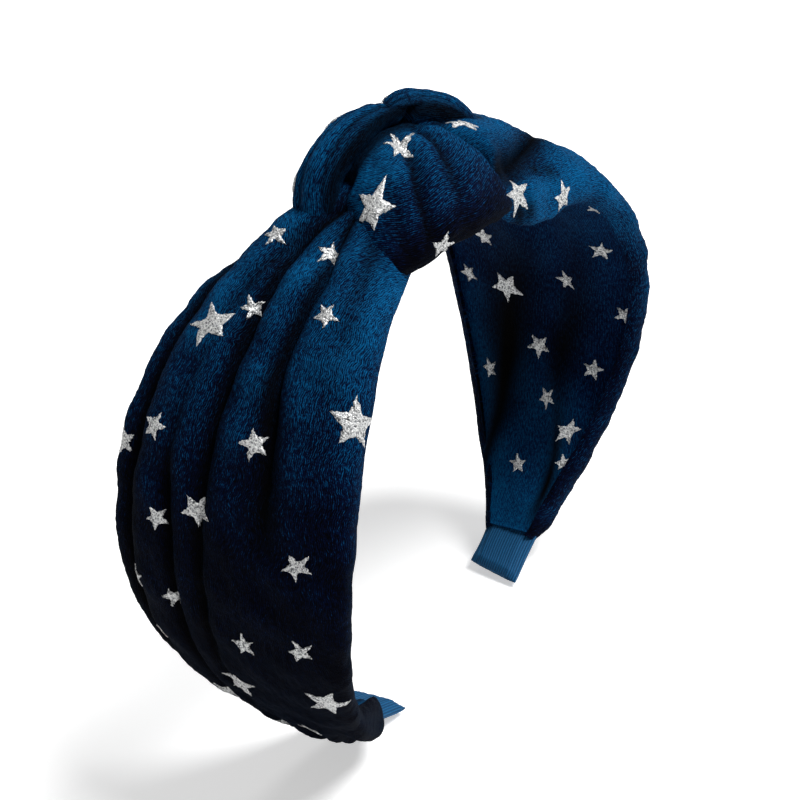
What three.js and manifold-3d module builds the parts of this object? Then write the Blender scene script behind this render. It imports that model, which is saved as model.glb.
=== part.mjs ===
// A knotted headband: a springy plastic hoop, wide gathered velvet wings down both sides, and a
// turban knot on the crown. Millimetres, +Z up, X from ear to ear, -Y towards the wearer's face.
// The origin is where the underside of the knot rests on the top of the head.
import * as THREE from 'three';
import { mergeVertices } from 'three/addons/utils/BufferGeometryUtils.js';
import Module from 'manifold-3d';

const wasm = await Module();
wasm.setup();

// Hoop: half of it is three tangent arcs, from the crown down one side to the tip
const CROWN_RADIUS = 80;
const CROWN_ARC = 60;
const SIDE_RADIUS = 59;
const SIDE_ARC = 68;
const TIP_RADIUS = 71;
const TIP_ARC = 59;

// Plastic core
const CORE_THICKNESS = 1.8;
const CORE_CROWN_HALF_WIDTH = 11.5;
const CORE_TIP_HALF_WIDTH = 4.6;

// The core flexes beside the knot, where it is cut into crown and legs
const FLEX_ARC = 24.5;
const FLEX_GAP = 0.5;

// Wings: cloth tubes, pinched at the knot, full at the side and gathered at a neck above the tip
const WING_FROM_FLEX = 1.5;
const WING_FULL_ARC = 88;
const WING_ROOT_HALF_WIDTH = 17.5;
const WING_FULL_HALF_WIDTH = 30.5;
const NECK_FULLNESS = 1.4;
const CLOTH = 1.5;
const LINING = 1;
const PAD_ROOT = 4;
const PAD_NECK = 1;
const PAD_SHORT_OF_NECK = 6;
const PAD_EDGE = 0.6;
const PAD_CLEARANCE = 0.6;

// Ribbed end sleeves over the tips
const SLEEVE_LENGTH = 14;
const SLEEVE_CLOTH = 0.9;
const SLEEVE_END = 1.3;

// Gathering thread round each neck
const THREAD = 0.7;
const THREAD_FROM_NECK = 2.5;
const THREAD_CLEARANCE = 0.6;

// Knot: a band of cloth wrapped round the crown of the core, and a roll looped over the band
const KNOT_FROM_FLEX = 2.5;
const KNOT_HALF_DEPTH = 19;
const KNOT_FORWARD = 4;
const WRAP_UNDER = 2.4;
const WRAP_OVER = 4.5;
const CROWN_PAD = 4.7;
const REST_HALF_LENGTH = 6;
const ROLL_RADIUS = 6;
const ROLL_REACH = 15;
const ROLL_BACK = 7;
const ROLL_LOW = 5;
const ROLL_SINK = 4;

// Fits
const GAP = 0.3;

// Fineness of the faceted solids
const HOOP_STEP = 6;
const ARCH_SEGMENTS = 12;
const ARCH_SQUARENESS = 2.8;
const LOOP_SEGMENTS = 14;
const UNDER_SEGMENTS = 8;
const ROLL_SEGMENTS = 24;

const HALF_HOOP = CROWN_ARC + SIDE_ARC + TIP_ARC;
const CORE_FACE = CORE_THICKNESS / 2;
const LINING_TOP = -CORE_FACE - GAP;
const WING_BASE = LINING_TOP - LINING;
const WRAP_BASE = LINING_TOP - WRAP_UNDER;
const PAD_BASE = CORE_FACE + GAP;
const WING_START = FLEX_ARC + WING_FROM_FLEX;
const SLEEVE_TIP = HALF_HOOP + GAP + SLEEVE_END;
const NECK_ARC = SLEEVE_TIP - SLEEVE_LENGTH - GAP;
const KNOT_HALF_LENGTH = FLEX_ARC - KNOT_FROM_FLEX;
const KNOT_HOLE_TOP = PAD_BASE + CROWN_PAD + PAD_CLEARANCE;
const KNOT_HOLE_HALF_WIDTH = CORE_CROWN_HALF_WIDTH + 2 * GAP;
const WRAP_TOP = KNOT_HOLE_TOP + WRAP_OVER;

// The flat rest under the knot is a chord of the crown's arc, and it lies at z = 0
const REST_TURN = REST_HALF_LENGTH / CROWN_RADIUS;
const CORE_HEIGHT = CROWN_RADIUS - (CROWN_RADIUS + WRAP_BASE) * Math.cos(REST_TURN);
const SIDES = { right: -1, left: 1 };

const hoopArcs = [
  { radius: CROWN_RADIUS, length: CROWN_ARC },
  { radius: SIDE_RADIUS, length: SIDE_ARC },
  { radius: TIP_RADIUS, length: Infinity },
];

// A point at signed arc length s from the crown, y across the band and n out from the core's middle
function onHoop(s, y, n) {
  let left = Math.abs(s);
  let turned = 0;
  let x = 0;
  let z = CORE_HEIGHT;
  for (const arc of hoopArcs) {
    const run = Math.min(left, arc.length);
    const end = turned + run / arc.radius;
    x += arc.radius * (Math.sin(end) - Math.sin(turned));
    z += arc.radius * (Math.cos(end) - Math.cos(turned));
    turned = end;
    left -= run;
  }
  const across = x + n * Math.sin(turned);
  return new THREE.Vector3(Math.sign(s) * across, y, z + n * Math.cos(turned));
}

function mix(a, b, t) {
  return a + (b - a) * t;
}

function steps(count) {
  return Array.from({ length: count + 1 }, (_, i) => i / count);
}

// Half of a rounded box, from +y over the top to -y, as [y, n] pairs
function arch(halfWidth, base, height, segments = ARCH_SEGMENTS, middle = 0) {
  const power = 2 / ARCH_SQUARENESS;
  return steps(segments).map((t) => {
    const across = Math.cos(Math.PI * t);
    const up = Math.max(0, Math.sin(Math.PI * t));
    const y = middle + halfWidth * Math.sign(across) * Math.abs(across) ** power;
    return [y, base + height * up ** power];
  });
}

// What lies above a flat floor under an arch, with upright edges where it would run out to nothing
function archAbove(floor, edge, halfWidth, base, height) {
  const fall = (share) => (1 - share ** ARCH_SQUARENESS) ** (1 / ARCH_SQUARENESS);
  const rim = halfWidth * fall((floor + edge - base) / height);
  const over = steps(ARCH_SEGMENTS).map((t) => {
    const y = rim * Math.cos(Math.PI * t);
    return [y, base + height * fall(Math.abs(y) / halfWidth)];
  });
  return [[rim, floor], ...over, [-rim, floor]];
}

// An arch closed by a straight run under it
function archLoop(halfWidth, base, height, middle = 0) {
  const over = arch(halfWidth, base, height, LOOP_SEGMENTS, middle);
  const under = steps(UNDER_SEGMENTS).slice(1, -1);
  return [...over, ...under.map((t) => [middle + mix(-halfWidth, halfWidth, t), base])];
}

function bevelledBox(halfWidth, bottom, top) {
  const bevel = Math.min(halfWidth, (top - bottom) / 2) * 0.4;
  return [
    [halfWidth, bottom + bevel], [halfWidth, top - bevel],
    [halfWidth - bevel, top], [bevel - halfWidth, top],
    [-halfWidth, top - bevel], [-halfWidth, bottom + bevel],
    [bevel - halfWidth, bottom], [halfWidth - bevel, bottom],
  ];
}

function signedVolume(points, faces) {
  const cross = new THREE.Vector3();
  return faces.reduce((sum, [a, b, c]) => {
    cross.crossVectors(points[b], points[c]);
    return sum + points[a].dot(cross) / 6;
  }, 0);
}

function solidOf(points, faces) {
  const inwards = signedVolume(points, faces) < 0;
  const order = inwards ? faces.map(([a, b, c]) => [a, c, b]) : faces;
  const geometry = new THREE.BufferGeometry().setFromPoints(points);
  geometry.setIndex(order.flat());
  return geometry;
}

// The quads between neighbouring rings, with the last ring joined to the first in a closed row
function wallFaces(rings, closed) {
  const size = rings[0].length;
  const rows = closed ? rings.length : rings.length - 1;
  const faces = [];
  for (let row = 0; row < rows; row += 1) {
    const here = row * size;
    const next = ((row + 1) % rings.length) * size;
    for (let i = 0; i < size; i += 1) {
      const j = (i + 1) % size;
      faces.push([here + i, here + j, next + j], [here + i, next + j, next + i]);
    }
  }
  return faces;
}

// A flat outline cut into triangles that turn the way the outline does
function capFaces(outline) {
  const flat = outline.map(([y, n]) => new THREE.Vector2(y, n));
  const turn = Math.sign(THREE.ShapeUtils.area(flat));
  return THREE.ShapeUtils.triangulateShape(flat, []).map(([a, b, c]) => {
    const agrees = Math.sign(THREE.ShapeUtils.area([flat[a], flat[b], flat[c]])) === turn;
    return agrees ? [a, b, c] : [a, c, b];
  });
}

// A solid that follows the hoop on one side; section(s) is its outline at an arc length
function alongHoop(side, start, end, section) {
  const count = Math.ceil(Math.abs(end - start) / HOOP_STEP);
  const arcs = steps(count).map((t) => mix(start, end, t));
  const outlines = arcs.map(section);
  const rings = outlines.map((outline, i) => outline.map(([y, n]) => onHoop(side * arcs[i], y, n)));
  const last = (rings.length - 1) * rings[0].length;
  const faces = [
    ...wallFaces(rings, false),
    ...capFaces(outlines[0]).map(([a, b, c]) => [a, c, b]),
    ...capFaces(outlines.at(-1)).map((face) => face.map((i) => i + last)),
  ];
  return solidOf(rings.flat(), faces);
}

// Section of a band as [along, out], each from -1 to 1: flat in the middle, rounded at the edges
function bandSection(flatShare) {
  const corner = [0, Math.PI / 6, Math.PI / 3].map((a) => [Math.cos(a) ** 0.5, Math.sin(a) ** 0.5]);
  const mirrored = corner.slice(1).reverse().map(([along, out]) => [-along, out]);
  const half = [...corner, [flatShare, 1], [-flatShare, 1], ...mirrored];
  return [...half, ...half.map(([along, out]) => [-along, -out])];
}

// A closed band round the hoop, between an inner and an outer loop
function bandRoundHoop(middle, halfLength, inner, outer) {
  const section = bandSection(REST_HALF_LENGTH / KNOT_HALF_LENGTH);
  const rings = inner.map(([innerY, innerN], i) => {
    const [outerY, outerN] = outer[i];
    return section.map(([along, out]) => {
      const share = (1 + out) / 2;
      const s = middle + halfLength * along;
      return onHoop(s, mix(innerY, outerY, share), mix(innerN, outerN, share));
    });
  });
  return solidOf(rings.flat(), wallFaces(rings, true));
}

function manifoldOf(geometry) {
  const bare = geometry.clone();
  bare.deleteAttribute('normal');
  bare.deleteAttribute('uv');
  const merged = mergeVertices(bare, 1e-5);
  const vertProperties = new Float32Array(merged.attributes.position.array);
  const triVerts = new Uint32Array(merged.index.array);
  return new wasm.Manifold(new wasm.Mesh({ numProp: 3, vertProperties, triVerts }));
}

function cutBy(geometry, cutter) {
  const { vertProperties, triVerts } = manifoldOf(geometry).subtract(manifoldOf(cutter)).getMesh();
  const cut = new THREE.BufferGeometry();
  cut.setAttribute('position', new THREE.BufferAttribute(new Float32Array(vertProperties), 3));
  cut.setIndex(Array.from(triVerts));
  return cut;
}

// Half-widths along the hoop
function coreHalfWidth(s) {
  return mix(CORE_CROWN_HALF_WIDTH, CORE_TIP_HALF_WIDTH, Math.abs(s) / HALF_HOOP);
}

function wingHalfWidth(s) {
  const neck = coreHalfWidth(NECK_ARC) + CLOTH + NECK_FULLNESS;
  if (s < WING_FULL_ARC) {
    const along = (s - WING_START) / (WING_FULL_ARC - WING_START);
    return mix(WING_ROOT_HALF_WIDTH, WING_FULL_HALF_WIDTH, Math.sin(along * Math.PI / 2));
  }
  const along = (s - WING_FULL_ARC) / (NECK_ARC - WING_FULL_ARC);
  return mix(neck, WING_FULL_HALF_WIDTH, Math.cos(along * Math.PI / 2));
}

function padThickness(s) {
  return mix(PAD_ROOT, PAD_NECK, (s - WING_START) / (NECK_ARC - WING_START));
}

function coverHeight(s) {
  return PAD_BASE + padThickness(s) + PAD_CLEARANCE + CLOTH - WING_BASE;
}

// Plastic core
function coreSection(s) {
  return bevelledBox(coreHalfWidth(s), -CORE_FACE, CORE_FACE);
}

function coreCrown() {
  const end = FLEX_ARC - FLEX_GAP / 2;
  return alongHoop(1, -end, end, coreSection);
}

function coreLeg(side) {
  return alongHoop(side, FLEX_ARC + FLEX_GAP / 2, HALF_HOOP, coreSection);
}

// Wing: velvet cover over a sponge pad, closed underneath by a velvet lining
function wingCover(side) {
  return alongHoop(side, WING_START, NECK_ARC, (s) => {
    const outside = arch(wingHalfWidth(s), WING_BASE, coverHeight(s));
    const inside = arch(wingHalfWidth(s) - CLOTH, WING_BASE, coverHeight(s) - CLOTH);
    return [...outside, ...inside.reverse()];
  });
}

function wingPad(side) {
  return alongHoop(side, WING_START, NECK_ARC - PAD_SHORT_OF_NECK, (s) => {
    const shrink = CLOTH + PAD_CLEARANCE;
    return archAbove(PAD_BASE, PAD_EDGE, wingHalfWidth(s) - shrink, WING_BASE, coverHeight(s) - shrink);
  });
}

function wingLining(side) {
  return alongHoop(side, WING_START, NECK_ARC, (s) => {
    return bevelledBox(wingHalfWidth(s) - CLOTH - GAP, WING_BASE, LINING_TOP);
  });
}

function gatherThread(side) {
  const s = NECK_ARC - THREAD_FROM_NECK;
  const loop = (out) => {
    return archLoop(wingHalfWidth(s) + out, WING_BASE - out, coverHeight(s) + 2 * out);
  };
  const halfThread = THREAD / 2;
  return bandRoundHoop(side * s, halfThread, loop(THREAD_CLEARANCE), loop(THREAD_CLEARANCE + THREAD));
}

// End sleeve: a ribbon pocket that the core's tip sits in
function endSleeve(side) {
  const boxAround = (clearance) => (s) => {
    const face = CORE_FACE + clearance;
    return bevelledBox(coreHalfWidth(s) + clearance, -face, face);
  };
  const outside = alongHoop(side, NECK_ARC + GAP, SLEEVE_TIP, boxAround(GAP + SLEEVE_CLOTH));
  const pocket = alongHoop(side, NECK_ARC - SLEEVE_LENGTH, HALF_HOOP + GAP, boxAround(GAP));
  return cutBy(outside, pocket);
}

// Knot
function knotWrap() {
  const inner = archLoop(KNOT_HOLE_HALF_WIDTH, LINING_TOP, KNOT_HOLE_TOP - LINING_TOP);
  const outer = archLoop(KNOT_HALF_DEPTH, WRAP_BASE, WRAP_TOP - WRAP_BASE, -KNOT_FORWARD);
  return bandRoundHoop(0, KNOT_HALF_LENGTH, inner, outer);
}

// The whole space that the wrap and what it holds take up, with a clearance round it
function knotSpace(clearance) {
  const end = KNOT_HALF_LENGTH + clearance;
  const base = WRAP_BASE - clearance;
  const height = WRAP_TOP + clearance - base;
  return alongHoop(1, -end, end, () => {
    return arch(KNOT_HALF_DEPTH + clearance, base, height, LOOP_SEGMENTS, -KNOT_FORWARD);
  });
}

function crownPad() {
  const end = KNOT_HALF_LENGTH - GAP;
  const halfWidth = KNOT_HOLE_HALF_WIDTH - PAD_CLEARANCE;
  const height = KNOT_HOLE_TOP - PAD_CLEARANCE - LINING_TOP;
  return alongHoop(1, -end, end, () => {
    return archAbove(PAD_BASE, PAD_EDGE, halfWidth, LINING_TOP, height);
  });
}

// The roll rises from the back on the right, crosses over the wrap and comes down at the left
function knotRoll() {
  const over = WRAP_TOP + ROLL_RADIUS - ROLL_SINK;
  const path = new THREE.CatmullRomCurve3([
    onHoop(-ROLL_REACH, ROLL_BACK, ROLL_LOW),
    onHoop(-ROLL_REACH * 0.8, ROLL_BACK, over * 0.8),
    onHoop(-ROLL_REACH * 0.2, ROLL_BACK / 2, over),
    onHoop(ROLL_REACH * 0.5, 0, over),
    onHoop(ROLL_REACH, -ROLL_BACK / 2, WRAP_TOP),
  ]);
  const circle = new THREE.Shape().absarc(0, 0, ROLL_RADIUS, 0, 2 * Math.PI);
  const roll = new THREE.ExtrudeGeometry(circle, {
    extrudePath: path, steps: ROLL_SEGMENTS, curveSegments: ARCH_SEGMENTS,
  });
  return cutBy(roll, knotSpace(GAP));
}

const finishes = {
  velvet: { color: 0x0d3350, roughness: 0.85 },
  darkVelvet: { color: 0x0a2a45, roughness: 0.9 },
  sponge: { color: 0xd8d4c8, roughness: 1 },
  ribbon: { color: 0x0b4a78, roughness: 0.7 },
  plastic: { color: 0x1a1c20, roughness: 0.5 },
  thread: { color: 0x0a2238, roughness: 0.8 },
};

const headband = new THREE.Group();

function add(name, geometry, finish) {
  const mesh = new THREE.Mesh(geometry, new THREE.MeshStandardMaterial(finishes[finish]));
  mesh.name = name;
  headband.add(mesh);
}

add('hoop_core_crown', coreCrown(), 'plastic');
add('crown_pad', crownPad(), 'sponge');
add('knot_wrap', knotWrap(), 'velvet');
add('knot_roll', knotRoll(), 'velvet');
for (const [name, side] of Object.entries(SIDES)) {
  add(`hoop_core_${name}`, coreLeg(side), 'plastic');
  add(`${name}_wing_pad`, wingPad(side), 'sponge');
  add(`${name}_wing_cover`, wingCover(side), 'velvet');
  add(`${name}_wing_lining`, wingLining(side), 'darkVelvet');
  add(`${name}_gather_thread`, gatherThread(side), 'thread');
  add(`${name}_end_sleeve`, endSleeve(side), 'ribbon');
}

export default headband;
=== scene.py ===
import math

import bpy
import numpy as np
from mathutils import Matrix, Vector


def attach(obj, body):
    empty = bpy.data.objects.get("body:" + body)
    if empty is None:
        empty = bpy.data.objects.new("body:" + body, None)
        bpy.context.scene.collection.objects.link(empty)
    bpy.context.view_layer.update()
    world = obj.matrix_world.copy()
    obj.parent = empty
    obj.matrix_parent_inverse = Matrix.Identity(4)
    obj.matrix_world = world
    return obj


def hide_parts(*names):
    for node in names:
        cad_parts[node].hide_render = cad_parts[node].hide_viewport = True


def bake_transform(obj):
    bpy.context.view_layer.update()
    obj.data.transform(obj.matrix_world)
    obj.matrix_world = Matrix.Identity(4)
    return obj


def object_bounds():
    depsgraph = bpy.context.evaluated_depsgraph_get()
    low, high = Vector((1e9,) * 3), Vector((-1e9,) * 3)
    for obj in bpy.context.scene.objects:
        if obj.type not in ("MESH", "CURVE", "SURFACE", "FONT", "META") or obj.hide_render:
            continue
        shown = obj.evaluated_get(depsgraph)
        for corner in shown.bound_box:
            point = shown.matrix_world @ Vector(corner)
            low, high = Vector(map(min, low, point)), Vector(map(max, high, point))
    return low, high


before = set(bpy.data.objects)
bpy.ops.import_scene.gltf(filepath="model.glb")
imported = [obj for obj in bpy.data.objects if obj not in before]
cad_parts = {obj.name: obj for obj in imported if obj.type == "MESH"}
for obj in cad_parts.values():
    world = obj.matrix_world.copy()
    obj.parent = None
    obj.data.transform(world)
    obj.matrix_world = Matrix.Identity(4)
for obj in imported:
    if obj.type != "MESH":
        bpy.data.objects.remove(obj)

CAD_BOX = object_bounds()
M = 0.001

# The hoop, as in the CAD: three tangent arcs from the crown to a tip, as (radius, length) in mm.
# The radii are rounded from a least-squares fit to outline points read from the photo.
ARCS = ((80.0, 60.0), (59.0, 68.0), (71.0, 1000.0))
CORE_HEIGHT = 3.815
NECK = 174.3
SIDES = {"right": -1, "left": 1}
CROWN = "crown"
LEGS = {"right": "right_leg", "left": "left_leg"}
CLOTH = 1.1


# ---------------------------------------------------------------- places on the hoop

def hoop(p):
    """Row-frame metres for (..., 3) points given as arc length s, y across and n out, in mm."""
    s, y, n = p[..., 0], p[..., 1], p[..., 2]
    left = np.abs(s)
    turned = np.zeros_like(s)
    x = np.zeros_like(s)
    z = np.full_like(s, CORE_HEIGHT)
    for radius, length in ARCS:
        run = np.clip(left, 0, length)
        end = turned + run / radius
        x = x + radius * (np.sin(end) - np.sin(turned))
        z = z + radius * (np.cos(end) - np.cos(turned))
        turned = end
        left = left - run
    side = np.where(s < 0, -1.0, 1.0)
    return np.stack([side * (x + n * np.sin(turned)), y, z + n * np.cos(turned)], -1) * M


def table(*pairs):
    """A smooth curve through (x, y) pairs that doesn't overshoot them."""
    xs, ys = np.array(pairs, float).T
    h = np.diff(xs)
    d = np.diff(ys) / h
    inner = np.where(d[:-1] * d[1:] > 0, (d[:-1] + d[1:]) / 2, 0)
    m = np.concatenate([d[:1], inner, d[-1:]])

    def at(x):
        x = np.clip(x, xs[0], xs[-1])
        i = np.clip(np.searchsorted(xs, x, side="right") - 1, 0, len(h) - 1)
        t = (x - xs[i]) / h[i]
        return ((2 * t**3 - 3 * t**2 + 1) * ys[i] + (t**3 - 2 * t**2 + t) * h[i] * m[i]
                + (3 * t**2 - 2 * t**3) * ys[i + 1] + (t**3 - t**2) * h[i] * m[i + 1])
    return at


def spline(points, count, closed=False):
    """count points on a Catmull-Rom curve through points."""
    p = np.array(points, float)
    p = np.concatenate([p[-1:], p, p[:2]]) if closed else np.concatenate(
        [2 * p[:1] - p[1:2], p, 2 * p[-1:] - p[-2:-1]])
    spans = len(p) - 3
    u = np.linspace(0, spans, count, endpoint=not closed)
    i = np.clip(u.astype(int), 0, spans - 1)
    t = (u - i)[:, None]
    a, b, c, d = p[i], p[i + 1], p[i + 2], p[i + 3]
    return 0.5 * (2 * b + (c - a) * t + (2 * a - 5 * b + 4 * c - d) * t**2
                  + (3 * b - a - 3 * c + d) * t**3)


def ripple(a, b, size, seed, count=9):
    """Smooth noise of about unit height and the given wavelength."""
    r = np.random.RandomState(seed)
    total = np.zeros(np.broadcast(a, b).shape)
    for _ in range(count):
        turn, phase = r.uniform(0, 2 * math.pi, 2)
        wave = 2 * math.pi / (size * r.uniform(0.7, 1.5))
        total = total + np.sin(wave * (a * math.cos(turn) + b * math.sin(turn)) + phase)
    return total / math.sqrt(count)


def unit(v):
    return v / np.maximum(np.linalg.norm(v, axis=-1, keepdims=True), 1e-12)


def even(rows, count):
    """Each row of points resampled to count points an even distance apart."""
    out = np.empty((rows.shape[0], count, rows.shape[2]))
    for k, row in enumerate(rows):
        run = np.concatenate([[0], np.cumsum(np.linalg.norm(np.diff(row[:, :3], axis=0), axis=1))])
        at = np.linspace(0, run[-1], count)
        for axis in range(rows.shape[2]):
            out[k, :, axis] = np.interp(at, run, row[:, axis])
    return out


# ---------------------------------------------------------------- cloth from a grid of points

class Cloth:
    """A piece of cloth from a grid of (s, y, n) points.

    It carries painted shade, darker in folds, at tucked edges and under other cloth, and painted light and
    shade, lighter or darker by place on the cloth."""

    def __init__(self, grid, closed=False, painted_shade=None, outward=None, painted_light_and_shade=None):
        self.grid = grid
        self.painted_light_and_shade = np.zeros(grid.shape[:2]) if painted_light_and_shade is None else painted_light_and_shade
        self.p = hoop(grid)
        self.closed = closed
        self.painted_shade = np.zeros(grid.shape[:2]) if painted_shade is None else painted_shade
        along = np.gradient(self.p, axis=0)
        if closed:
            across = np.roll(self.p, -1, 1) - np.roll(self.p, 1, 1)
        else:
            across = np.gradient(self.p, axis=1)
        self.n = unit(np.cross(along, across))
        reference = self.p - self.p.mean(axis=1, keepdims=True) if outward is None else outward
        self.turned = (self.n * reference).sum() < 0
        if self.turned:
            self.n = -self.n

    def inset(self, depth):
        """The grid's (s, y, n) points moved in by depth mm."""
        g = self.grid
        along, across = np.gradient(g, axis=0), np.gradient(g, axis=1)
        normal = unit(np.cross(along, across))
        normal = normal * np.where(normal[:, g.shape[1] // 2, 2].mean() < 0, -1, 1)
        return g - normal * depth

    def nearest(self, s, y, n):
        g = self.grid
        d = (g[..., 0] - s)**2 + (g[..., 1] - y)**2 + 0.6 * (g[..., 2] - n)**2
        return np.unravel_index(np.argmin(d), d.shape)

    def at(self, i, j, lift):
        """Points at fractional places in the grid, lifted off the cloth by lift metres."""
        rows, columns = self.p.shape[:2]
        i = np.clip(i, 0, rows - 1.001)
        j = j % columns if self.closed else np.clip(j, 0, columns - 1.001)
        i0, j0 = i.astype(int), j.astype(int)
        i1, j1 = i0 + 1, (j0 + 1) % columns
        fi, fj = (i - i0)[..., None], (j - j0)[..., None]

        def mixed(f):
            low = f[i0, j0] * (1 - fj) + f[i0, j1] * fj
            return low * (1 - fi) + (f[i1, j0] * (1 - fj) + f[i1, j1] * fj) * fi
        return mixed(self.p) + unit(mixed(self.n)) * np.asarray(lift)[..., None]

    def object(self, name, material, thickness=CLOTH, shut_end=False):
        rows, columns = self.p.shape[:2]
        if self.closed:
            ring = np.concatenate([self.p, self.p[:, :1]], 1)
        else:
            ring = self.p
        step_u = np.linalg.norm(np.diff(self.p, axis=0), axis=2).mean(axis=1)
        u = np.concatenate([[0], np.cumsum(step_u)]) / M
        v = np.cumsum(np.linalg.norm(np.diff(ring, axis=1), axis=2), axis=1) / M
        v = np.concatenate([np.zeros((rows, 1)), v], 1)
        v = v - v[:, -1:] / 2
        spans = columns if self.closed else columns - 1
        i, j = np.meshgrid(np.arange(rows - 1), np.arange(spans), indexing="ij")
        i, j = i.ravel(), j.ravel()
        k = (j + 1) % columns
        quad = np.stack([i * columns + j, (i + 1) * columns + j,
                         (i + 1) * columns + k, i * columns + k], 1)
        uv = np.stack([np.stack([u[i], v[i, j]], 1), np.stack([u[i + 1], v[i + 1, j]], 1),
                       np.stack([u[i + 1], v[i + 1, j + 1]], 1), np.stack([u[i], v[i, j + 1]], 1)], 1)
        if self.turned:
            quad, uv = quad[:, ::-1], uv[:, ::-1]
        count = rows * columns
        inner, inner_uv = quad[:, ::-1] + count, uv[:, ::-1]
        rims = [np.arange(columns), (rows - 1) * columns + np.arange(columns)]
        if not self.closed:
            rims += [np.arange(rows) * columns, np.arange(rows) * columns + columns - 1]
        faces = [quad, inner]
        uvs = [uv, inner_uv]
        for number, rim in enumerate(rims):
            if number == 1 and shut_end:
                continue
            nxt = np.roll(rim, -1) if self.closed else rim[1:]
            here = rim if self.closed else rim[:-1]
            side = np.stack([here, nxt, nxt + count, here + count], 1)
            if (number in (0, 3)) != self.turned:
                side = side[:, ::-1]
            flat = np.zeros((len(side), 4, 2))
            r, c = np.divmod(side % count, columns)
            flat[..., 0], flat[..., 1] = u[r], v[r, c]
            faces.append(side)
            uvs.append(flat)
        points = np.concatenate([self.p.reshape(-1, 3),
                                 (self.p - self.n * thickness * M).reshape(-1, 3)])
        faces, uvs = np.concatenate(faces).tolist(), np.concatenate(uvs).reshape(-1, 2)
        if shut_end:
            lid = rims[1] if self.turned else rims[1][::-1]
            for one in (lid, lid[::-1] + count):
                faces.append(one.tolist())
                r, c = np.divmod(one % count, columns)
                uvs = np.concatenate([uvs, np.stack([u[r], v[r, c]], 1)])
        ob = mesh_object(name, points, faces, uvs, material)
        for key, values in (("painted_shade", self.painted_shade), ("painted_light_and_shade", self.painted_light_and_shade)):
            layer = ob.data.attributes.new(key, "FLOAT", "POINT")
            layer.data.foreach_set("value", np.tile(values.ravel(), 2).astype(np.float32))
        return ob


def mesh_object(name, points, faces, uv=None, material=None):
    mesh = bpy.data.meshes.new(name)
    mesh.from_pydata(points.tolist(), [], [list(map(int, f)) for f in faces])
    if uv is not None:
        layer = mesh.uv_layers.new(name="cloth")
        layer.data.foreach_set("uv", uv.reshape(-1).astype(np.float32))
    mesh.polygons.foreach_set("use_smooth", np.ones(len(mesh.polygons), bool))
    mesh.update()
    ob = bpy.data.objects.new(name, mesh)
    bpy.context.scene.collection.objects.link(ob)
    if material is not None:
        mesh.materials.append(material)
    return ob


# ---------------------------------------------------------------- materials

class Nodes:
    """A Principled material with short names for adding nodes."""

    def __init__(self, name, **values):
        self.material = bpy.data.materials.new(name)
        self.material.use_nodes = True
        self.tree = self.material.node_tree
        self.shader = self.tree.nodes["Principled BSDF"]
        for key, value in values.items():
            self.shader.inputs[key.replace("_", " ")].default_value = value

    def add(self, kind, **inputs):
        node = self.tree.nodes.new(kind)
        for key, value in inputs.items():
            socket = node.inputs[int(key[1:])] if key[0] == "i" and key[1:].isdigit() \
                else node.inputs[key.replace("_", " ")]
            self.put(socket, value)
        return node

    def put(self, socket, value):
        if isinstance(value, bpy.types.NodeSocket):
            self.tree.links.new(value, socket)
        elif isinstance(value, bpy.types.Node):
            self.tree.links.new(value.outputs[0], socket)
        else:
            socket.default_value = value

    def math(self, operation, a, b=0.0):
        node = self.add("ShaderNodeMath", i0=a, i1=b)
        node.operation = operation
        return node.outputs[0]

    def stretched(self, source, scale):
        node = self.tree.nodes.new("ShaderNodeVectorMath")
        node.operation = "MULTIPLY"
        self.put(node.inputs[0], source)
        node.inputs[1].default_value = scale
        return node.outputs[0]

    def noise(self, vector, scale=1.0, detail=2.0, rough=0.6):
        node = self.add("ShaderNodeTexNoise", Vector=vector, Scale=scale, Detail=detail,
                        Roughness=rough)
        return node.outputs[0]

    def ramp(self, factor, *stops):
        node = self.add("ShaderNodeValToRGB", Fac=factor)
        ramp = node.color_ramp
        while len(ramp.elements) < len(stops):
            ramp.elements.new(0.5)
        for element, (position, colour) in zip(ramp.elements, stops):
            element.position = position
            element.color = (*colour, 1) if len(colour) == 3 else colour
        return node.outputs[0]

    def mix(self, factor, a, b, kind="MIX"):
        node = self.tree.nodes.new("ShaderNodeMix")
        node.data_type = "RGBA"
        node.blend_type = kind
        for socket, value in zip((node.inputs[0], node.inputs[6], node.inputs[7]), (factor, a, b)):
            self.put(socket, value)
        return node.outputs[2]

    def bump(self, height, strength, distance, normal=None):
        node = self.add("ShaderNodeBump", Strength=strength, Distance=distance, Height=height)
        if normal is not None:
            self.put(node.inputs["Normal"], normal)
        return node.outputs[0]

    def finish(self, colour=None, roughness=None, normal=None):
        for key, value in (("Base Color", colour), ("Roughness", roughness), ("Normal", normal)):
            if value is not None:
                self.put(self.shader.inputs[key], value)
        return self.material


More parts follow.
